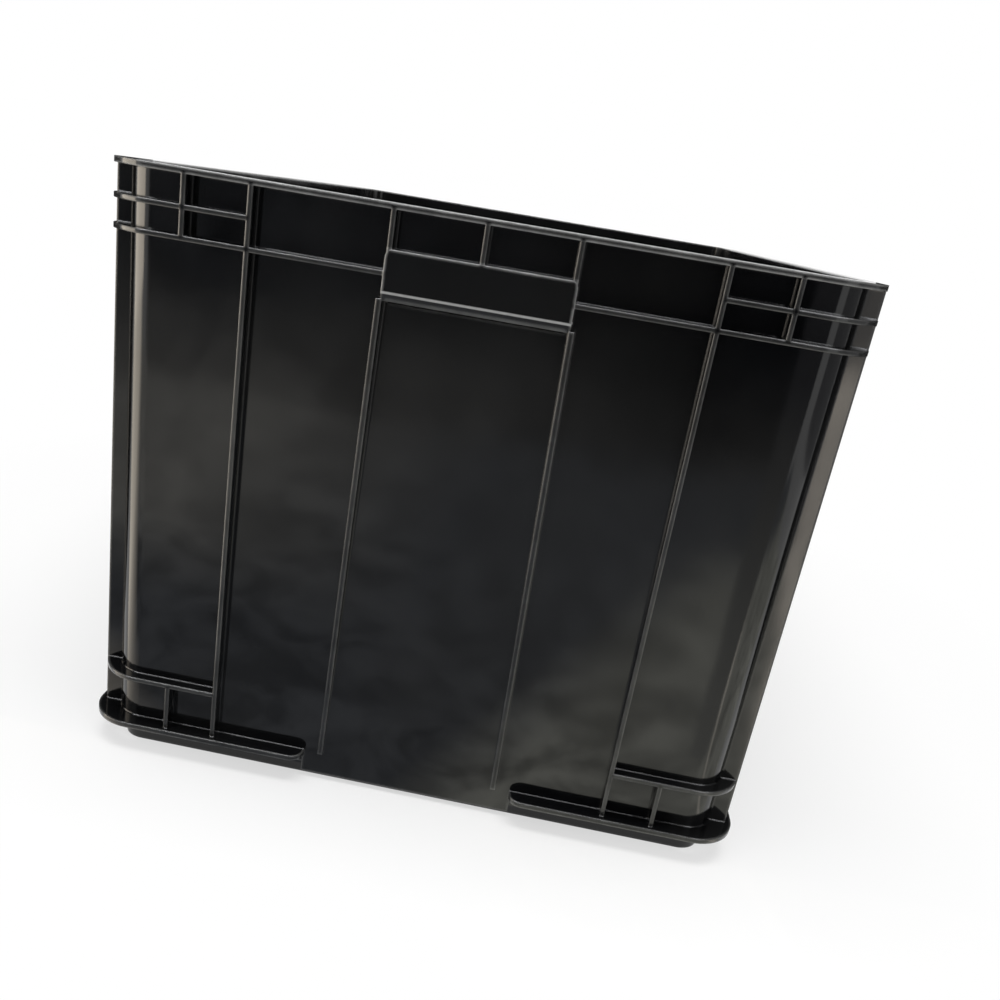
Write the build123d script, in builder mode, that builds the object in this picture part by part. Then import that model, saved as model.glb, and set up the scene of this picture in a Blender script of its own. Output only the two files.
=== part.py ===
from build123d import *
import os

os.makedirs("parts", exist_ok=True)

# Knock-down stacking crate, millimetres, +Z up, origin at the centre of the base's underside.
# X is the crate's width, Y its length. The end walls face -Y (front) and +Y (back).

# ---------------------------------------------------------------- overall size
CRATE_W = 400.0
CRATE_L = 600.0
CRATE_H = 340.0

# ---------------------------------------------------------------- moulded walls
WALL_T = 2.5
WALL_TOP_INSET = 9.0
WALL_FOOT_INSET_X = 14.5
WALL_FOOT_INSET_Y = 12.0
RIB_TOP_INSET = 0.0
RIB_FOOT_INSET = 5.0
RIM_T = 3.0
RIM_CORNER_R = 27.0
WALL_CORNER_R = 17.0

# ---------------------------------------------------------------- ribs round the walls
RIB_T = 2.5
UPPER_BAND_Z = 322.4
LOWER_BAND_Z = 307.2
FOOT_BAND_Z = 48.3
BAND_STUB_FROM_CORNER = 46.0
BAY_RIB_FROM_CORNER = 80.5
FOOT_STUB_FROM_CORNER = 51.5
RETURN_RIB_FROM_END = 26.0
FLANGE_TOP_Z = 18.7
FLANGE_T = 3.0
FLANGE_INSET = 1.0
FLANGE_GAP_HALF = 63.5
FLANGE_END_R = 8.0

# ---------------------------------------------------------------- handle
GRIP_HALF_W = 48.7
GRIP_TOP_Z = 318.0
GRIP_BREAK_Z = 296.5
GRIP_LOW_Z = 292.3
GRIP_LIP_IN = 2.0
GRIP_CORNER_R = 4.0
GRIP_STUB_X = 47.4
GRIP_RECESS_INSET = 24.0
GRIP_RECESS_LOW_Z = 291.0
FIELD_RIB_T = 3.0
FIELD_HALF_TOP = 49.4
FIELD_HALF_LOW = 53.3
FIELD_RIB_PROUD_LOW = 2.5

# ---------------------------------------------------------------- split between the walls
JOINT_GAP = 0.4
RETURN_LEN = 50.0
LAP_LEN = 7.0
LAP_OUT_INSET = 6.4
LAP_IN_INSET = 8.4
LAP_LOW_Z = 60.0
APRON_HALF = 64.5
APRON_LOW_Z = 3.6

# ---------------------------------------------------------------- base
FOOT_INSET_X = 17.5
FOOT_INSET_Y = 16.5
FOOT_T = 2.5
FOOT_CORNER_R = 14.0
FLOOR_Z = 8.0
FLOOR_T = 2.5
END_UPSTAND_INSET = 15.0
END_UPSTAND_Z = 40.0
END_UPSTAND_HALF = 150.0
LEDGE_T = 3.3
LEDGE_INSET = 10.5
UNDER_RIB_LOW_Z = 1.5
RAIL_IN_INSET = 20.0

# ---------------------------------------------------------------- hinges of the long walls
HINGE_INSET = 26.5
HINGE_Z_LEFT = 18.0
HINGE_Z_RIGHT = 35.0
WALL_LOW_Z_LEFT = 19.1
WALL_LOW_Z_RIGHT = 35.6
HINGE_Y = (-200.0, -70.0, 70.0, 200.0)
KNUCKLE_R = 5.5
KNUCKLE_W = 14.0
EAR_GAP = 0.3
EAR_T = 4.0
PIN_R = 2.5
RUNNING = 0.06
PRESS = 0.02
ARM_H = 11.0

# ---------------------------------------------------------------- corner catches
CATCH_Z = 300.0
CATCH_FROM_END = 38.0
CATCH_LEN = 31.0
CATCH_W = 10.0
CATCH_EYE_R = 6.0
CATCH_T = 3.0
CATCH_X = 186.8
CATCH_HEAD_R = 4.6
CATCH_HEAD_T = 1.6
CATCH_SIDE_PLAY = 0.3

# ---------------------------------------------------------------- values that follow
HALF_W = CRATE_W / 2
HALF_L = CRATE_L / 2
SKIN_END = HALF_L - RETURN_LEN
LAP_END = SKIN_END - LAP_LEN
BAY_RIB_X = HALF_W - BAY_RIB_FROM_CORNER
BAY_RIB_Y = HALF_L - BAY_RIB_FROM_CORNER
LONG_RIB_Y = (-BAY_RIB_Y, -132.0, -44.0, 44.0, 132.0, BAY_RIB_Y)
RIM_LOW_Z = CRATE_H - RIM_T
HINGE_X = HALF_W - HINGE_INSET
REACH = 2 * CRATE_L


def lean(top, foot, z):
    """Inset at height z of a face that leans from its top inset to its foot inset."""
    return top + (foot - top) * (CRATE_H - z) / CRATE_H


def block(x0, x1, y0, y1, z0, z1, mode=Mode.ADD):
    """Box between two corners."""
    with Locations(((x0 + x1) / 2, (y0 + y1) / 2, (z0 + z1) / 2)):
        Box(abs(x1 - x0), abs(y1 - y0), abs(z1 - z0), mode=mode)


def tub(top, foot_x, foot_y, radius, z0, z1, mode=Mode.ADD):
    """Rounded block with drafted sides, as a solid from z0 to z1."""
    rings = []
    for z in (z0, z1):
        with BuildSketch(Plane.XY.offset(z)) as ring:
            RectangleRounded(
                CRATE_W - 2 * lean(top, foot_x, z), CRATE_L - 2 * lean(top, foot_y, z), radius
            )
        rings.append(ring.sketch.face())
    loft(rings, ruled=True, mode=mode)


def end_plate(x_top, x_low, z_top, z_low, inset_top, inset_low, thick=RIB_T):
    """Upright rib on the front end wall, with its own outer insets at the top and the bottom."""
    root = WALL_TOP_INSET + 1.0
    low = lean(WALL_TOP_INSET, WALL_FOOT_INSET_Y, z_low) + 1.0
    faces = []
    for x, z, out, deep in ((x_top, z_top, inset_top, root), (x_low, z_low, inset_low, low)):
        with BuildSketch(Plane.XY.offset(z)) as foot:
            with Locations((x, -HALF_L + (out + deep) / 2)):
                Rectangle(thick, deep - out)
        faces.append(foot.sketch.face())
    loft(faces, ruled=True)


def side_plate(side, y, z_top, z_low, out_top=RIB_TOP_INSET, out_foot=RIB_FOOT_INSET):
    """Upright rib on a long side, from the wall out to a leaning envelope."""
    faces = []
    for z in (z_top, z_low):
        out = lean(out_top, out_foot, z)
        deep = lean(WALL_TOP_INSET, WALL_FOOT_INSET_X, z) + 1.0
        with BuildSketch(Plane.XY.offset(z)) as foot:
            with Locations((side * (HALF_W - (out + deep) / 2), y)):
                Rectangle(deep - out, RIB_T)
        faces.append(foot.sketch.face())
    loft(faces, ruled=True)


def band(z_top, thick):
    """Horizontal rib right round the crate, out to the rib envelope."""
    tub(RIB_TOP_INSET, RIB_FOOT_INSET, RIB_FOOT_INSET, RIM_CORNER_R, z_top - thick, z_top)


def y_rod(x, y0, y1, z, radius, mode=Mode.ADD):
    """Round bar or bore along Y."""
    with Locations(Location((x, (y0 + y1) / 2, z), (90, 0, 0))):
        Cylinder(radius, abs(y1 - y0), mode=mode)


def x_rod(x0, x1, y, z, radius, mode=Mode.ADD):
    """Round bar or bore along X."""
    with Locations(Location(((x0 + x1) / 2, y, z), (0, 90, 0))):
        Cylinder(radius, abs(x1 - x0), mode=mode)


def skin_hollow():
    """Removes everything inside the walls' inner faces."""
    tub(
        WALL_TOP_INSET + WALL_T,
        WALL_FOOT_INSET_X + WALL_T,
        WALL_FOOT_INSET_Y + WALL_T,
        WALL_CORNER_R - WALL_T,
        -1.0,
        CRATE_H + 1.0,
        mode=Mode.SUBTRACT,
    )


def flange_corners():
    """Bottom flange of an end wall: round both corners, with a rounded end beside the field."""
    with BuildSketch(Plane.XY.offset(FLANGE_TOP_Z - FLANGE_T)) as outline:
        RectangleRounded(
            CRATE_W - 2 * FLANGE_INSET, CRATE_L - 2 * FLANGE_INSET, RIM_CORNER_R
        )
        with Locations((0, -HALF_L)):
            Rectangle(2 * FLANGE_GAP_HALF, 60.0, mode=Mode.SUBTRACT)
        tips = outline.vertices().filter_by(
            lambda v: abs(v.Y + HALF_L - FLANGE_INSET) < 0.01 and abs(v.X) < FLANGE_GAP_HALF + 0.01
        )
        fillet(tips, FLANGE_END_R)
    extrude(outline.sketch, amount=FLANGE_T)


def handle_shell():
    """Grip panel, its top shelf and cheeks, standing at the rib envelope."""
    y0 = -HALF_L
    wall = WALL_TOP_INSET + 1.0
    with BuildSketch(Plane.YZ.offset(-GRIP_HALF_W)) as profile:
        with BuildLine():
            Polyline(
                (y0, GRIP_TOP_Z),
                (y0, GRIP_BREAK_Z),
                (y0 + GRIP_LIP_IN, GRIP_LOW_Z),
                (y0 + GRIP_LIP_IN + 1.8, GRIP_LOW_Z),
                (y0 + WALL_T, GRIP_BREAK_Z + 0.6),
                (y0 + WALL_T, GRIP_TOP_Z - WALL_T),
                (y0 + wall, GRIP_TOP_Z - WALL_T),
                (y0 + wall, GRIP_TOP_Z),
                close=True,
            )
        make_face()
    extrude(profile.sketch, amount=2 * GRIP_HALF_W)
    round_x = GRIP_HALF_W - GRIP_CORNER_R
    round_z = GRIP_TOP_Z - GRIP_CORNER_R
    for side in (-1, 1):
        block(
            side * GRIP_HALF_W, side * (GRIP_HALF_W - WALL_T), y0 + GRIP_LIP_IN + 0.4, y0 + wall,
            GRIP_LOW_Z, GRIP_TOP_Z,
        )
        block(
            side * round_x, side * (GRIP_HALF_W + 1), y0 - 1, y0 + wall + 1, round_z,
            GRIP_TOP_Z + 1, Mode.SUBTRACT,
        )
        y_rod(side * round_x, y0, y0 + wall, round_z, GRIP_CORNER_R)


def catch_x(side):
    """The two faces of a corner catch on one side, wall face first."""
    return side * CATCH_X, side * (CATCH_X - CATCH_T)


def long_wall(z_low, z_axis):
    """Left long wall with its ribs, rim and hinge knuckles."""
    band(UPPER_BAND_Z, RIB_T)
    block(-REACH, REACH, -BAY_RIB_Y, BAY_RIB_Y, UPPER_BAND_Z - 9, UPPER_BAND_Z + 9, Mode.SUBTRACT)
    band(LOWER_BAND_Z, RIB_T)
    band(FOOT_BAND_Z, RIB_T)
    band(z_low + RIB_T, RIB_T)
    tub(RIB_TOP_INSET, RIB_TOP_INSET, RIB_TOP_INSET, RIM_CORNER_R, RIM_LOW_Z, CRATE_H)
    for y in LONG_RIB_Y:
        side_plate(-1, y, RIM_LOW_Z, z_low)
    block(-REACH, REACH, -REACH, -LAP_END + JOINT_GAP, 0, CRATE_H + 1, Mode.SUBTRACT)
    block(-REACH, REACH, LAP_END - JOINT_GAP, REACH, 0, CRATE_H + 1, Mode.SUBTRACT)
    tub(WALL_TOP_INSET, WALL_FOOT_INSET_X, WALL_FOOT_INSET_Y, WALL_CORNER_R, z_low, CRATE_H)
    skin_hollow()
    block(
        -REACH, -HALF_W / 2, -SKIN_END + JOINT_GAP, SKIN_END - JOINT_GAP, z_low, CRATE_H + 1,
        Mode.INTERSECT,
    )
    inner_low = HALF_W - lean(WALL_TOP_INSET, WALL_FOOT_INSET_X, z_low) - WALL_T
    for y in HINGE_Y:
        y_rod(-HINGE_X, y - KNUCKLE_W / 2, y + KNUCKLE_W / 2, z_axis, KNUCKLE_R)
        with BuildSketch(Plane.XZ.offset(-y - KNUCKLE_W / 2)) as arm:
            with BuildLine():
                Polyline(
                    (-inner_low - 0.8, z_low),
                    (-HINGE_X, z_low),
                    (-HINGE_X + KNUCKLE_R, z_axis),
                    (-HINGE_X + KNUCKLE_R - 1.5, z_axis + 3.5),
                    (-inner_low + 0.5, z_low + ARM_H + 6.0),
                    (-inner_low - 0.8, z_low + ARM_H + 6.0),
                    close=True,
                )
            make_face()
        extrude(arm.sketch, amount=KNUCKLE_W)
        y_rod(-HINGE_X, y - KNUCKLE_W, y + KNUCKLE_W, z_axis, PIN_R + RUNNING, Mode.SUBTRACT)


# ================================================================ base tray
with BuildPart() as base_tray:
    foot_w = CRATE_W - 2 * FOOT_INSET_X
    foot_l = CRATE_L - 2 * FOOT_INSET_Y
    with BuildSketch(Plane.XY):
        RectangleRounded(foot_w, foot_l, FOOT_CORNER_R)
        RectangleRounded(
            foot_w - 2 * FOOT_T, foot_l - 2 * FOOT_T, FOOT_CORNER_R - FOOT_T, mode=Mode.SUBTRACT
        )
    extrude(amount=FLANGE_TOP_Z - FLANGE_T - JOINT_GAP)
    with BuildSketch(Plane.XY.offset(FLOOR_Z)):
        RectangleRounded(foot_w - 1.0, foot_l - 1.0, FOOT_CORNER_R - 0.5)
    extrude(amount=FLOOR_T)
    # stiffening ribs under the floor
    for x in (-130.0, -78.0, -26.0, 26.0, 78.0, 130.0):
        block(x - 1, x + 1, -foot_l / 2 + 1, foot_l / 2 - 1, UNDER_RIB_LOW_Z, FLOOR_Z + 1)
    for y in (-232.0, -174.0, -116.0, -58.0, 0.0, 58.0, 116.0, 174.0, 232.0):
        block(-foot_w / 2 + 1, foot_w / 2 - 1, y - 1, y + 1, UNDER_RIB_LOW_Z, FLOOR_Z + 1)
    ledge_top = FLANGE_TOP_Z - FLANGE_T - JOINT_GAP
    for end in (-1, 1):
        foot_y = end * (HALF_L - FOOT_INSET_Y)
        wall_y = end * (HALF_L - END_UPSTAND_INSET)
        # upstand that the end wall slides down over
        block(
            -END_UPSTAND_HALF, END_UPSTAND_HALF, wall_y, wall_y - end * FOOT_T, FLOOR_Z,
            END_UPSTAND_Z,
        )
        for x in (-END_UPSTAND_HALF, -75.0, 0.0, 75.0, END_UPSTAND_HALF):
            block(
                x - 1.25, x + 1.25, wall_y - end, wall_y - end * 9, FLOOR_Z, END_UPSTAND_Z - 6
            )
        # ledge that carries the end wall's bottom edge
        for side in (-1, 1):
            block(
                side * (APRON_HALF + 3), side * (HALF_W - 32), foot_y, end * (HALF_L - LEDGE_INSET),
                ledge_top - LEDGE_T, ledge_top,
            )
    # side rails with the bottom flange between the two end walls
    rail_y = LAP_END - JOINT_GAP
    for side in (-1, 1):
        block(
            side * (HALF_W - FLANGE_INSET), side * (HALF_W - RAIL_IN_INSET), -rail_y, rail_y,
            FLANGE_TOP_Z - FLANGE_T, FLANGE_TOP_Z,
        )
        block(
            side * (HALF_W - FOOT_INSET_X), side * (HALF_W - RAIL_IN_INSET), -rail_y, rail_y,
            FLOOR_Z, FLANGE_TOP_Z,
        )
    rail_top = WALL_LOW_Z_RIGHT - JOINT_GAP
    block(
        HALF_W - WALL_FOOT_INSET_X, HALF_W - WALL_FOOT_INSET_X - WALL_T, -rail_y, rail_y,
        FLANGE_TOP_Z - 1, rail_top,
    )
    for y in LONG_RIB_Y:
        block(
            HALF_W - RIB_FOOT_INSET, HALF_W - WALL_FOOT_INSET_X - 1, y - RIB_T / 2, y + RIB_T / 2,
            FLANGE_TOP_Z - 1, rail_top,
        )
    # hinge ears
    for side, z_axis in ((-1, HINGE_Z_LEFT), (1, HINGE_Z_RIGHT)):
        x_pin = side * HINGE_X
        for y in HINGE_Y:
            for way in (-1, 1):
                y0 = y + way * (KNUCKLE_W / 2 + EAR_GAP)
                y1 = y0 + way * EAR_T
                y_rod(x_pin, y0, y1, z_axis, KNUCKLE_R)
                block(x_pin - KNUCKLE_R, x_pin + KNUCKLE_R, y0, y1, FLOOR_Z, z_axis)
                y_rod(x_pin, y0, y1, z_axis, PIN_R - PRESS, Mode.SUBTRACT)
            if side > 0:
                for way in (-1, 1):
                    y0 = y + way * (KNUCKLE_W / 2 + EAR_GAP)
                    block(
                        x_pin + KNUCKLE_R - 1, HALF_W - WALL_FOOT_INSET_X - 1, y0, y0 + way * EAR_T,
                        FLOOR_Z, z_axis - 7,
                    )
base_tray.part.label = "base_tray"
export_step(base_tray.part, "parts/base_tray.step")

# ================================================================ end walls
with BuildPart() as end_wall_front:
    band(UPPER_BAND_Z, RIB_T)
    band(FOOT_BAND_Z, RIB_T)
    block(-BAY_RIB_X, BAY_RIB_X, -REACH, 0, 0, CRATE_H, Mode.SUBTRACT)
    band(LOWER_BAND_Z, RIB_T)
    block(
        -GRIP_HALF_W + 1, GRIP_HALF_W - 1, -REACH, 0, LOWER_BAND_Z - 9, LOWER_BAND_Z + 9,
        Mode.SUBTRACT,
    )
    tub(RIB_TOP_INSET, RIB_TOP_INSET, RIB_TOP_INSET, RIM_CORNER_R, RIM_LOW_Z, CRATE_H)
    flange_corners()
    handle_shell()
    for side in (-1, 1):
        stub_x = side * (HALF_W - BAND_STUB_FROM_CORNER)
        end_plate(stub_x, stub_x, RIM_LOW_Z, LOWER_BAND_Z, RIB_TOP_INSET, RIB_TOP_INSET + 0.4)
        low_x = side * (HALF_W - FOOT_STUB_FROM_CORNER)
        out_low = lean(RIB_TOP_INSET, RIB_FOOT_INSET, FOOT_BAND_Z)
        end_plate(low_x, low_x, FOOT_BAND_Z, FLANGE_TOP_Z, out_low, out_low)
        bay_x = side * BAY_RIB_X
        end_plate(bay_x, bay_x, RIM_LOW_Z, FLANGE_TOP_Z, RIB_TOP_INSET, RIB_FOOT_INSET)
        stub_x = side * (GRIP_STUB_X - RIB_T / 2 + 0.8)
        stub_z = GRIP_TOP_Z - GRIP_CORNER_R
        end_plate(stub_x, stub_x, RIM_LOW_Z, stub_z, RIB_TOP_INSET, RIB_TOP_INSET + 0.3)
        out_low = lean(WALL_TOP_INSET, WALL_FOOT_INSET_Y, FLANGE_TOP_Z) - FIELD_RIB_PROUD_LOW
        end_plate(
            side * FIELD_HALF_TOP, side * FIELD_HALF_LOW, GRIP_LOW_Z + 1, FLANGE_TOP_Z,
            RIB_TOP_INSET + 0.7, out_low, FIELD_RIB_T,
        )
        side_plate(side, -HALF_L + RETURN_RIB_FROM_END, RIM_LOW_Z, FLANGE_TOP_Z)
    end_plate(0, 0, RIM_LOW_Z, GRIP_TOP_Z - 1, RIB_TOP_INSET, RIB_TOP_INSET + 0.3)
    tub(WALL_TOP_INSET, WALL_FOOT_INSET_X, WALL_FOOT_INSET_Y, WALL_CORNER_R, APRON_LOW_Z, CRATE_H)
    skin_hollow()
    # recess for the fingers behind the grip, bulging into the crate
    block(
        -GRIP_HALF_W, GRIP_HALF_W, -HALF_L + WALL_TOP_INSET + 0.6,
        -HALF_L + GRIP_RECESS_INSET + WALL_T, GRIP_RECESS_LOW_Z - WALL_T, GRIP_TOP_Z,
    )
    block(
        -GRIP_HALF_W + WALL_T, GRIP_HALF_W - WALL_T, -HALF_L + WALL_T + 0.2,
        -HALF_L + GRIP_RECESS_INSET, GRIP_RECESS_LOW_Z, GRIP_TOP_Z - WALL_T, Mode.SUBTRACT,
    )
    # keep the front end and its returns only
    block(-REACH, REACH, -REACH, -LAP_END, 0, CRATE_H + 1, Mode.INTERSECT)
    for side in (-1, 1):
        block(
            side * (HALF_W - LAP_IN_INSET), 0, -SKIN_END, -LAP_END + 1, 0, CRATE_H + 1,
            Mode.SUBTRACT,
        )
        block(
            side * APRON_HALF, side * REACH, -REACH, 0, 0, FLANGE_TOP_Z - FLANGE_T, Mode.SUBTRACT
        )
        # closing rib and lip at the free edge of the return
        block(
            side * (HALF_W - LAP_OUT_INSET), side * (HALF_W - LAP_IN_INSET), -SKIN_END - RIB_T,
            -LAP_END, LAP_LOW_Z, RIM_LOW_Z + 1,
        )
        side_plate(
            side, -SKIN_END - RIB_T / 2, RIM_LOW_Z + 1, FLANGE_TOP_Z - 1, LAP_OUT_INSET,
            LAP_OUT_INSET,
        )
        pin_y = -HALF_L + CATCH_FROM_END
        x_rod(side * HALF_W, side * CATCH_X, pin_y, CATCH_Z, PIN_R - PRESS, Mode.SUBTRACT)
    skin_inside = HALF_W - lean(WALL_TOP_INSET, WALL_FOOT_INSET_X, CATCH_Z) - WALL_T
end_wall_front.part.label = "end_wall_front"
export_step(end_wall_front.part, "parts/end_wall_front.step")

with BuildPart() as end_wall_back:
    add(end_wall_front.part, rotation=(0, 0, 180))
end_wall_back.part.label = "end_wall_back"
export_step(end_wall_back.part, "parts/end_wall_back.step")

# ================================================================ long walls
with BuildPart() as long_wall_left:
    long_wall(WALL_LOW_Z_LEFT, HINGE_Z_LEFT)
long_wall_left.part.label = "long_wall_left"
export_step(long_wall_left.part, "parts/long_wall_left.step")

with BuildPart() as upper_wall:
    long_wall(WALL_LOW_Z_RIGHT, HINGE_Z_RIGHT)

with BuildPart() as long_wall_right:
    add(upper_wall.part, rotation=(0, 0, 180))
long_wall_right.part.label = "long_wall_right"
export_step(long_wall_right.part, "parts/long_wall_right.step")

# ================================================================ hinge pins
pin_half = KNUCKLE_W / 2 + EAR_GAP + EAR_T + 0.5
for side, name, z_axis in ((-1, "left", HINGE_Z_LEFT), (1, "right", HINGE_Z_RIGHT)):
    for number, y in enumerate(HINGE_Y, 1):
        with BuildPart() as hinge_pin:
            y_rod(side * HINGE_X, y - pin_half, y + pin_half, z_axis, PIN_R)
            chamfer(hinge_pin.edges().filter_by(GeomType.CIRCLE), 0.4)
        hinge_pin.part.label = f"hinge_pin_{name}_{number}"
        export_step(hinge_pin.part, f"parts/hinge_pin_{name}_{number}.step")

# ================================================================ corner catches and their pins
for end, end_name in ((-1, "front"), (1, "back")):
    for side, side_name in ((-1, "left"), (1, "right")):
        pin_y = end * (HALF_L - CATCH_FROM_END)
        x_wall, x_in = catch_x(side)
        with BuildPart() as corner_catch:
            x_rod(x_wall, x_in, pin_y, CATCH_Z, CATCH_EYE_R)
            block(
                x_wall, x_in, pin_y - CATCH_W / 2, pin_y + CATCH_W / 2, CATCH_Z - CATCH_LEN, CATCH_Z
            )
            block(
                x_wall - side, x_in - side * 2.0, pin_y - CATCH_W / 2, pin_y + CATCH_W / 2,
                CATCH_Z - CATCH_LEN, CATCH_Z - CATCH_LEN + 4,
            )
            x_rod(x_wall + side, x_in - side, pin_y, CATCH_Z, PIN_R + RUNNING, Mode.SUBTRACT)
        corner_catch.part.label = f"corner_catch_{end_name}_{side_name}"
        export_step(corner_catch.part, f"parts/corner_catch_{end_name}_{side_name}.step")

        head_x = x_in - side * CATCH_SIDE_PLAY
        with BuildPart() as catch_pin:
            x_rod(side * (skin_inside + WALL_T - 0.1), head_x, pin_y, CATCH_Z, PIN_R)
            x_rod(head_x, head_x - side * CATCH_HEAD_T, pin_y, CATCH_Z, CATCH_HEAD_R)
        catch_pin.part.label = f"catch_pin_{end_name}_{side_name}"
        export_step(catch_pin.part, f"parts/catch_pin_{end_name}_{side_name}.step")
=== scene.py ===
"""Dresses the collapsible storage crate: materials, light, floor, cards and camera."""

import bpy
from mathutils import Matrix, Vector


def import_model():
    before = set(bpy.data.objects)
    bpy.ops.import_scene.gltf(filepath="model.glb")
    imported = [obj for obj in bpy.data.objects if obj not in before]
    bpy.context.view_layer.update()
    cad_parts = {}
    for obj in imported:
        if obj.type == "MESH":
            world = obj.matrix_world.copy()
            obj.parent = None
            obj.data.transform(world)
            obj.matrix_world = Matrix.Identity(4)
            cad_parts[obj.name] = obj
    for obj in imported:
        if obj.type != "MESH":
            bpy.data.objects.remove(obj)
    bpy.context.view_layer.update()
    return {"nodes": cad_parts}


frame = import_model()
NODES = frame["nodes"]

# Sockets of a Mix node that mixes colours: its other data types share their names.
MIX_FACTOR, MIX_A, MIX_B, MIX_RESULT = 0, 6, 7, 2

# Where hands rub the crate and highlights are painted on it, in metres: the rim, the grip panels
# and the crease across a panel. Each pair is where a mask begins and ends.
PANEL_SIDE = (0.0488, 0.0494)
END_WALL_FACE = (0.287, 0.288)
PANEL_Z = (0.2957, 0.3188)
PANEL_SOFT = 0.0003
CREASE_Z = (0.2961, 0.2973)
CREASE_SOFT = 0.0002
RIM_Z = (0.3364, 0.3372)

# Plastic and steel.
HAZE_SHARE, STREAK_SHARE = 0.7, 0.3
STREAK_STRETCH = (1.0, 1.0, 0.35)
STEEL_STRETCH = (1.0, 0.04, 1.0)
OUTER_EDGE = (0.45, 0.95)
ROUND_SHARE = 0.8
EDGE_SAMPLES = 6

# Floor and room. The share of plain white in the floor grows from the first distance to the second.
FLOOR_HALF = 30.0
FLOOR_COLOUR = (0.88, 0.88, 0.87)
FLOOR_DISTANCE = (0.28, 0.62)
FLOOR_GLOW = (0.60, 1.0)
ROOM_COLOUR = (0.80, 0.80, 0.82)
ROOM_STRENGTH = 0.45

# What the gloss mirrors: the cards' colours, and the two places that cards share.
GROUND_GREY = (0.335, 0.352, 0.38)
GROUND_RIGHT = (1.06, 1.06, 0.95)
GROUND_LEFT = (0.92, 0.90, 0.84)
LEFT_STRIP = (4.4, 4.0, 3.4)
RIGHT_STRIP = (4.2, 3.85, 3.4)
RIGHT_STRIP_TOP = (1.0, 0.95, 0.9)
BACK_RIGHT = (0.015, 0.016, 0.018)
BACK_LEFT = (0.10, 0.105, 0.115)
BACK_FOOT = (0.55, 0.54, 0.51)
LEFT_GLOW = (6.0, 5.4, 4.6)
FAR_RIGHT_GREY = (0.33, 0.33, 0.34)
CORNER_LOW = (0.70, 0.70, 0.65)
CORNER_HIGH = (0.13, 0.13, 0.14)
GOBO_BLACK = (0.02, 0.02, 0.02)
SKY_LEFT = (15.0, 15.2, 15.6)
SKY_RIGHT = (9.0, 9.1, 9.4)
BACK_Y = -1.2
GROUND_EDGE_Y = -0.29

# The camera that was fitted to the photo.
CAMERA_PLACE = (0.04964, -0.78622, 0.34822)
CAMERA_PITCH, CAMERA_YAW, CAMERA_ROLL = 0.32723, 0.06067, 0.16606
LENS_MM, SENSOR_MM = 34.474, 36.0
SHIFT_X, SHIFT_Y = 0.0209, 0.0284


# ------------------------------------------------------------------ node helpers
def new_surface(name):
    """A material with nothing but its output, whose Surface socket is returned."""
    mat = bpy.data.materials.new(name)
    mat.use_nodes = True
    tree = mat.node_tree
    tree.nodes.clear()
    out = tree.nodes.new("ShaderNodeOutputMaterial")
    return mat, tree, out.inputs["Surface"]


def new_material(name):
    mat, tree, surface = new_surface(name)
    shader = tree.nodes.new("ShaderNodeBsdfPrincipled")
    tree.links.new(shader.outputs["BSDF"], surface)
    return mat, tree, shader


def object_coords(tree):
    return tree.nodes.new("ShaderNodeTexCoord").outputs["Object"]


def split(tree, vector):
    made = tree.nodes.new("ShaderNodeSeparateXYZ")
    tree.links.new(vector, made.inputs[0])
    return made.outputs


def stretched(tree, coords, scale):
    made = tree.nodes.new("ShaderNodeMapping")
    made.inputs["Scale"].default_value = scale
    tree.links.new(coords, made.inputs["Vector"])
    return made.outputs["Vector"]


def noise(tree, coords, scale, detail=2.0, rough=0.5, distortion=0.0):
    made = tree.nodes.new("ShaderNodeTexNoise")
    made.inputs["Scale"].default_value = scale
    made.inputs["Detail"].default_value = detail
    made.inputs["Roughness"].default_value = rough
    made.inputs["Distortion"].default_value = distortion
    tree.links.new(coords, made.inputs["Vector"])
    return made.outputs["Fac"]


def remap(tree, fac, low, high, start=0.35, end=0.65):
    """From low to high as the value goes from start to end: by default, a noise's usual span."""
    made = tree.nodes.new("ShaderNodeMapRange")
    made.inputs["From Min"].default_value = start
    made.inputs["From Max"].default_value = end
    made.inputs["To Min"].default_value = low
    made.inputs["To Max"].default_value = high
    tree.links.new(fac, made.inputs["Value"])
    return made.outputs["Result"]


def rising(tree, value, start, end):
    return remap(tree, value, 0.0, 1.0, start, end)


def falling(tree, value, start, end):
    return remap(tree, value, 1.0, 0.0, start, end)


def maths(tree, kind, a, b):
    made = tree.nodes.new("ShaderNodeMath")
    made.operation = kind
    for socket, value in zip(made.inputs, (a, b)):
        if isinstance(value, float):
            socket.default_value = value
        else:
            tree.links.new(value, socket)
    return made.outputs[0]


def both(tree, first, second):
    """Where two masks meet."""
    return maths(tree, "MULTIPLY", first, second)


def band(tree, value, limits, soft):
    """1 where the value lies between two limits."""
    low, high = limits
    above = rising(tree, value, low - soft, low + soft)
    return both(tree, above, falling(tree, value, high - soft, high + soft))


def blend(tree, mask, first, second):
    """The first colour where the mask is 0, the second where it is 1; each a colour or a socket."""
    made = tree.nodes.new("ShaderNodeMix")
    made.data_type = "RGBA"
    tree.links.new(mask, made.inputs[MIX_FACTOR])
    for socket, colour in ((made.inputs[MIX_A], first), (made.inputs[MIX_B], second)):
        if isinstance(colour, tuple):
            socket.default_value = (*colour, 1)
        else:
            tree.links.new(colour, socket)
    return made.outputs[MIX_RESULT]


def bump(tree, height, strength, distance, normal):
    made = tree.nodes.new("ShaderNodeBump")
    made.inputs["Strength"].default_value = strength
    made.inputs["Distance"].default_value = distance
    tree.links.new(height, made.inputs["Height"])
    tree.links.new(normal, made.inputs["Normal"])
    return made.outputs["Normal"]


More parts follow.
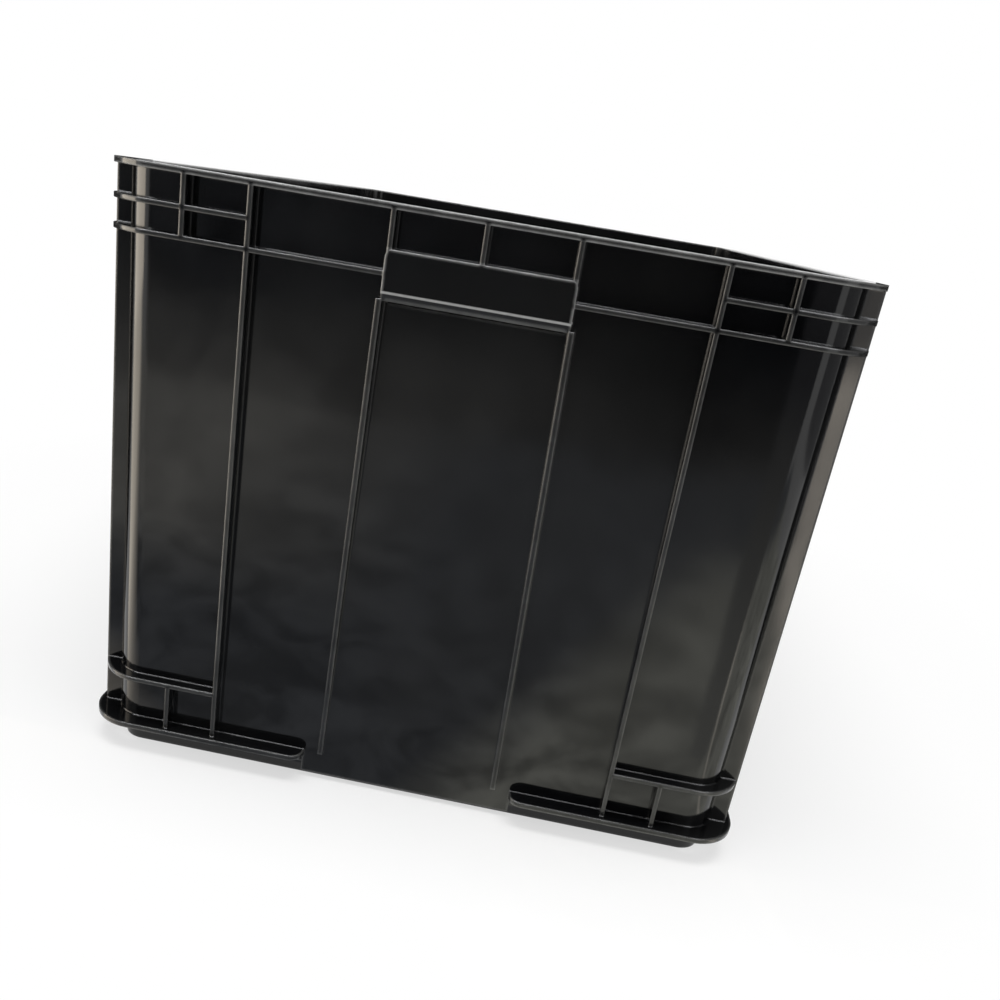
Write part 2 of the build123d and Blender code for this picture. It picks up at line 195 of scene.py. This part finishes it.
# ------------------------------------------------------------------ plastic and steel
def worn_and_highlit_edges(tree, width):
    """1 along outer edges, 0 on flat faces and in inner corners, by short rays sent inside: where
    edge wear and a painted edge highlight go.
    """
    inner = tree.nodes.new("ShaderNodeAmbientOcclusion")
    inner.inside = True
    inner.only_local = True
    inner.samples = EDGE_SAMPLES
    inner.inputs["Distance"].default_value = width
    return falling(tree, inner.outputs["AO"], *OUTER_EDGE)


def rub_and_highlight_masks(tree, coords):
    """Where hands rub and highlights are painted: a mask of the rim and the grip panels, and a
    painted highlight line along the crease across a panel.
    """
    place = split(tree, coords)
    across = maths(tree, "ABSOLUTE", place[0], 0.0)
    along = maths(tree, "ABSOLUTE", place[1], 0.0)
    height = place[2]
    outside = both(tree, falling(tree, across, *PANEL_SIDE), rising(tree, along, *END_WALL_FACE))
    panel = both(tree, outside, band(tree, height, PANEL_Z, PANEL_SOFT))
    # Painted highlight: a pale line along the crease across a panel.
    crease = both(tree, outside, band(tree, height, CREASE_Z, CREASE_SOFT))
    return maths(tree, "MAXIMUM", panel, rising(tree, height, *RIM_Z)), crease


def plastic(name, dark, pale, wear_and_highlight, roughness, wave, grain, edge, rubbed_and_highlit=None):
    """Moulded black plastic: uneven gloss, flow haze, a wavy skin, fine grain, and pale edges that
    are part wear and part painted highlight, brighter on the rim and grip panels.

    wave and grain are heights and edge is a width, in metres.
    """
    mat, tree, shader = new_material(name)
    coords = object_coords(tree)
    streaked = stretched(tree, coords, STREAK_STRETCH)
    haze = noise(tree, coords, scale=5.5, detail=3.0, rough=0.55, distortion=0.6)
    streak = noise(tree, streaked, scale=26.0, detail=4.0, rough=0.6, distortion=0.4)
    haze = maths(tree, "MULTIPLY", haze, HAZE_SHARE)
    mixed = maths(tree, "ADD", haze, maths(tree, "MULTIPLY", streak, STREAK_SHARE))
    skin = blend(tree, remap(tree, mixed, 0.0, 1.0), dark, pale)
    patches = noise(tree, coords, scale=60.0, detail=3.0, rough=0.6)
    # Outer edges take a paler colour: part wear, part painted highlight.
    edges = both(tree, worn_and_highlit_edges(tree, edge), remap(tree, patches, low=0.55, high=1.0))
    if rubbed_and_highlit:
        # Rim and grip-panel edges take a brighter colour, part rubbing and part painted highlight.
        touched_and_highlit, crease = rub_and_highlight_masks(tree, coords)
        edges = maths(tree, "MAXIMUM", edges, crease)
        wear_and_highlight = blend(tree, touched_and_highlit, wear_and_highlight, rubbed_and_highlit)
    tree.links.new(blend(tree, edges, skin, wear_and_highlight), shader.inputs["Base Color"])
    tree.links.new(remap(tree, mixed, *roughness), shader.inputs["Roughness"])

    rounded = tree.nodes.new("ShaderNodeBevel")
    rounded.samples = EDGE_SAMPLES
    rounded.inputs["Radius"].default_value = edge * ROUND_SHARE
    waves = noise(tree, coords, scale=9.0, detail=4.0, rough=0.32, distortion=0.4)
    fine = noise(tree, coords, scale=900.0, detail=2.0, rough=0.6)
    normal = bump(tree, waves, strength=1.0, distance=wave, normal=rounded.outputs["Normal"])
    normal = bump(tree, fine, strength=0.35, distance=grain, normal=normal)
    tree.links.new(normal, shader.inputs["Normal"])
    shader.inputs["Specular IOR Level"].default_value = 0.5
    return mat


def drawn_steel(name):
    """Steel with fine lines along Y, the way the hinge pins lie."""
    mat, tree, shader = new_material(name)
    coords = stretched(tree, object_coords(tree), STEEL_STRETCH)
    lines = noise(tree, coords, scale=1400.0, detail=3.0, rough=0.6)
    grey = blend(tree, remap(tree, lines, 0.0, 1.0), (0.42, 0.42, 0.43), (0.62, 0.62, 0.63))
    tree.links.new(grey, shader.inputs["Base Color"])
    tree.links.new(remap(tree, lines, low=0.28, high=0.42), shader.inputs["Roughness"])
    shader.inputs["Metallic"].default_value = 1.0
    return mat


# The pale edge colours paint both edge wear and a highlight along the edges.
CRATE = plastic(
    "crate_black",
    dark=(0.0035, 0.0037, 0.0043), pale=(0.0080, 0.0080, 0.0078), wear_and_highlight=(0.10, 0.10, 0.097),
    roughness=(0.06, 0.15), wave=0.0010, grain=0.00002, edge=0.0018, rubbed_and_highlit=(0.40, 0.40, 0.39),
)
CATCH = plastic(
    "catch_black",
    dark=(0.010, 0.010, 0.011), pale=(0.018, 0.018, 0.018), wear_and_highlight=(0.10, 0.10, 0.10),
    roughness=(0.30, 0.42), wave=0.0002, grain=0.00003, edge=0.0006,
)
RIVET = plastic(
    "rivet_black",
    dark=(0.012, 0.012, 0.012), pale=(0.02, 0.02, 0.02), wear_and_highlight=(0.08, 0.08, 0.08),
    roughness=(0.35, 0.5), wave=0.0001, grain=0.00003, edge=0.0004,
)
STEEL = drawn_steel("pin_steel")


# ------------------------------------------------------------------ CAD nodes and their materials
for name, obj in NODES.items():
    if name.startswith("hinge_pin"):
        mat = STEEL
    elif name.startswith("corner_catch"):
        mat = CATCH
    elif name.startswith("catch_pin"):
        mat = RIVET
    else:
        mat = CRATE
    obj.data.materials.clear()
    obj.data.materials.append(mat)


# ------------------------------------------------------------------ planes
def level(x0, x1, y0, y1, z):
    """Corners of a level plane."""
    return [(x0, y0, z), (x1, y0, z), (x1, y1, z), (x0, y1, z)]


def upright_x(x0, x1, y, top):
    """Corners of an upright plane that stands on the floor and runs along X."""
    return [(x0, y, 0.0), (x1, y, 0.0), (x1, y, top), (x0, y, top)]


def upright_y(x, y0, y1, top):
    """Corners of an upright plane that stands on the floor and runs along Y."""
    return [(x, y0, 0.0), (x, y1, 0.0), (x, y1, top), (x, y0, top)]


def plane(name, corners, mat):
    mesh = bpy.data.meshes.new(name)
    mesh.from_pydata(corners, [], [(0, 1, 2, 3)])
    mesh.materials.append(mat)
    obj = bpy.data.objects.new(name, mesh)
    bpy.context.scene.collection.objects.link(obj)
    return obj


# ------------------------------------------------------------------ floor, world and light
def seen_directly(tree):
    """1 for camera, glossy and transmission rays, 0 for the rays that only carry light."""
    path = tree.nodes.new("ShaderNodeLightPath")
    seen = maths(tree, "MAXIMUM", path.outputs["Is Camera Ray"], path.outputs["Is Glossy Ray"])
    return maths(tree, "MAXIMUM", seen, path.outputs["Is Transmission Ray"])


def floor():
    """Pale floor: part lit near the crate, with its shadow, and plain white further out."""
    mat, tree, surface = new_surface("floor_pale")
    shader = tree.nodes.new("ShaderNodeBsdfPrincipled")
    shader.inputs["Base Color"].default_value = (*FLOOR_COLOUR, 1)
    shader.inputs["Roughness"].default_value = 0.7
    shader.inputs["Specular IOR Level"].default_value = 0.2
    away = tree.nodes.new("ShaderNodeVectorMath")
    away.operation = "LENGTH"
    tree.links.new(object_coords(tree), away.inputs[0])
    white = remap(tree, away.outputs["Value"], *FLOOR_GLOW, *FLOOR_DISTANCE)
    glow = tree.nodes.new("ShaderNodeEmission")
    mix = tree.nodes.new("ShaderNodeMixShader")
    tree.links.new(both(tree, white, seen_directly(tree)), mix.inputs["Fac"])
    tree.links.new(shader.outputs["BSDF"], mix.inputs[1])
    tree.links.new(glow.outputs["Emission"], mix.inputs[2])
    tree.links.new(mix.outputs["Shader"], surface)
    plane("floor", level(-FLOOR_HALF, FLOOR_HALF, -FLOOR_HALF, FLOOR_HALF, 0), mat)


def world():
    """White where it is seen or mirrored, and a soft grey light for everything else."""
    made = bpy.data.worlds.new("studio")
    bpy.context.scene.world = made
    made.use_nodes = True
    tree = made.node_tree
    tree.nodes.clear()
    out = tree.nodes.new("ShaderNodeOutputWorld")
    room = tree.nodes.new("ShaderNodeBackground")
    room.inputs["Color"].default_value = (*ROOM_COLOUR, 1)
    room.inputs["Strength"].default_value = ROOM_STRENGTH
    white = tree.nodes.new("ShaderNodeBackground")
    white.inputs["Color"].default_value = (1, 1, 1, 1)
    white.inputs["Strength"].default_value = 1.0
    mix = tree.nodes.new("ShaderNodeMixShader")
    tree.links.new(seen_directly(tree), mix.inputs["Fac"])
    tree.links.new(room.outputs["Background"], mix.inputs[1])
    tree.links.new(white.outputs["Background"], mix.inputs[2])
    tree.links.new(mix.outputs["Shader"], out.inputs["Surface"])


def softbox(name, place, target, size, power):
    light = bpy.data.lights.new(name, "AREA")
    light.shape = "RECTANGLE"
    light.size, light.size_y = size
    light.energy = power
    obj = bpy.data.objects.new(name, light)
    obj.location = place
    obj.rotation_euler = (Vector(target) - Vector(place)).to_track_quat("-Z", "Y").to_euler()
    obj.visible_glossy = False
    bpy.context.scene.collection.objects.link(obj)


# ------------------------------------------------------------------ cards that the gloss mirrors
def gloss_card(name, corners, paint):
    """Card seen only in the crate's gloss: no camera sees it, it gives no light and no shadow.

    paint is one colour, or a function of tree, place and coords that returns a colour socket.
    """
    mat, tree, surface = new_surface(name)
    glow = tree.nodes.new("ShaderNodeEmission")
    tree.links.new(glow.outputs["Emission"], surface)
    if isinstance(paint, tuple):
        glow.inputs["Color"].default_value = (*paint, 1)
    else:
        coords = object_coords(tree)
        tree.links.new(paint(tree, split(tree, coords), coords), glow.inputs["Color"])
    obj = plane(name, corners, mat)
    obj.visible_camera = False
    obj.visible_shadow = False
    obj.visible_diffuse = False


def beyond(tree, place, slopes, offset, soft):
    """0 to 1 across the line slopes . (x, y) + offset = 0, over twice the soft width."""
    total = maths(tree, "MULTIPLY", place[0], slopes[0])
    total = maths(tree, "ADD", total, maths(tree, "MULTIPLY", place[1], slopes[1]))
    return rising(tree, maths(tree, "ADD", total, offset), -soft, soft)


def clouded(tree, coords, colour, scale, low, high):
    """Breaks a colour up into soft patches."""
    made = tree.nodes.new("ShaderNodeVectorMath")
    made.operation = "SCALE"
    tree.links.new(colour, made.inputs[0])
    patches = noise(tree, coords, scale, detail=4.0, rough=0.6, distortion=1.8)
    tree.links.new(remap(tree, patches, low, high, 0.38, 0.62), made.inputs["Scale"])
    return made.outputs[0]


def fade(axis, start, end, first, second):
    """Paint that goes from one colour to another along an axis: 0 is X, 2 is Z."""
    def paint(tree, place, coords):
        return blend(tree, rising(tree, place[axis], start, end), first, second)
    return paint


def ground(tree, place, coords):
    """Cloudy grey, paler on the right and out on the left, with a bright strip for each corner."""
    right = both(
        tree,
        beyond(tree, place, slopes=(0.91, 0.415), offset=0.106, soft=0.03),
        beyond(tree, place, slopes=(0.0, 1.0), offset=0.84, soft=0.12),
    )
    left = both(
        tree,
        beyond(tree, place, slopes=(-1.0, 0.0), offset=-0.20, soft=0.16),
        beyond(tree, place, slopes=(0.0, -1.0), offset=-0.56, soft=0.09),
    )
    left_strip = beyond(tree, place, slopes=(-0.84, 1.0), offset=0.08, soft=0.11)
    right_strip = both(
        tree,
        beyond(tree, place, slopes=(1.0, 0.2605), offset=-0.1288, soft=0.004),
        beyond(tree, place, slopes=(-1.0, -0.3096), offset=0.1148, soft=0.008),
    )
    made = blend(tree, right, GROUND_GREY, GROUND_RIGHT)
    made = blend(tree, left, made, GROUND_LEFT)
    made = clouded(tree, coords, made, scale=11.0, low=0.62, high=1.32)
    made = blend(tree, left_strip, made, LEFT_STRIP)
    return blend(tree, right_strip, made, RIGHT_STRIP)


def back(tree, place, coords):
    """Cloudy wall: almost black on the right, grey on the left, and paler at its foot."""
    left = falling(tree, place[0], -0.35, 0.15)
    most_left = remap(tree, left, low=0.3, high=1.0, start=0.0, end=1.0)
    foot = both(tree, falling(tree, place[2], 0.0, 0.17), most_left)
    made = blend(tree, left, BACK_RIGHT, BACK_LEFT)
    made = blend(tree, foot, made, BACK_FOOT)
    return clouded(tree, coords, made, scale=9.0, low=0.35, high=1.75)


def cards():
    """What stands and lies round the crate, as its gloss shows it."""
    gloss_card("ground_card", level(-1.6, 0.75, BACK_Y, GROUND_EDGE_Y, 0.001), ground)
    gloss_card("back_card", upright_x(-0.88, 0.43, BACK_Y, 1.9), back)
    gloss_card("left_card", upright_y(-1.6, -1.5, GROUND_EDGE_Y, 0.9), LEFT_GLOW)
    strip = fade(2, 0.18, 0.24, RIGHT_STRIP, RIGHT_STRIP_TOP)
    gloss_card("right_card", upright_x(0.442, 0.487, BACK_Y, 0.34), strip)
    gloss_card("far_right_card", upright_y(1.2, -1.4, -0.2, 1.2), FAR_RIGHT_GREY)
    corner = fade(2, 0.05, 0.27, CORNER_LOW, CORNER_HIGH)
    gloss_card("corner_card", upright_x(0.187, 0.2155, -0.40, 0.40), corner)
    for name, side in (("left_gobo", -1), ("right_gobo", 1)):
        gloss_card(name, upright_x(0.215 * side, 0.9 * side, -0.20, 0.6), GOBO_BLACK)
    sky = fade(0, -0.5, 0.4, SKY_LEFT, SKY_RIGHT)
    gloss_card("sky_card", level(-1.3, 1.3, -1.9, -0.45, 1.6), sky)


floor()
cards()
world()
softbox("overhead", place=(0.0, -0.35, 2.0), target=(0, 0, 0.2), size=(1.6, 0.9), power=38.0)


# ------------------------------------------------------------------ camera
def camera():
    data = bpy.data.cameras.new("camera")
    data.sensor_width = SENSOR_MM
    data.lens = LENS_MM
    data.shift_x = SHIFT_X
    data.shift_y = SHIFT_Y
    obj = bpy.data.objects.new("camera", data)
    turn = (
        Matrix.Rotation(CAMERA_ROLL, 3, "Z")
        @ Matrix.Rotation(CAMERA_PITCH, 3, "X")
        @ Matrix.Rotation(CAMERA_YAW, 3, "Y")
    )
    # The fit's axes are right, down and ahead. Blender's camera wants right, up and back.
    from_world = Matrix(((1, 0, 0), (0, 0, -1), (0, 1, 0)))
    right, down, ahead = turn @ from_world
    axes = Matrix((right, -down, -ahead)).transposed()
    obj.matrix_world = Matrix.Translation(CAMERA_PLACE) @ axes.to_4x4()
    bpy.context.scene.collection.objects.link(obj)
    bpy.context.scene.camera = obj


camera()
bpy.context.scene.view_settings.view_transform = "Standard"

bpy.context.view_layer.update()
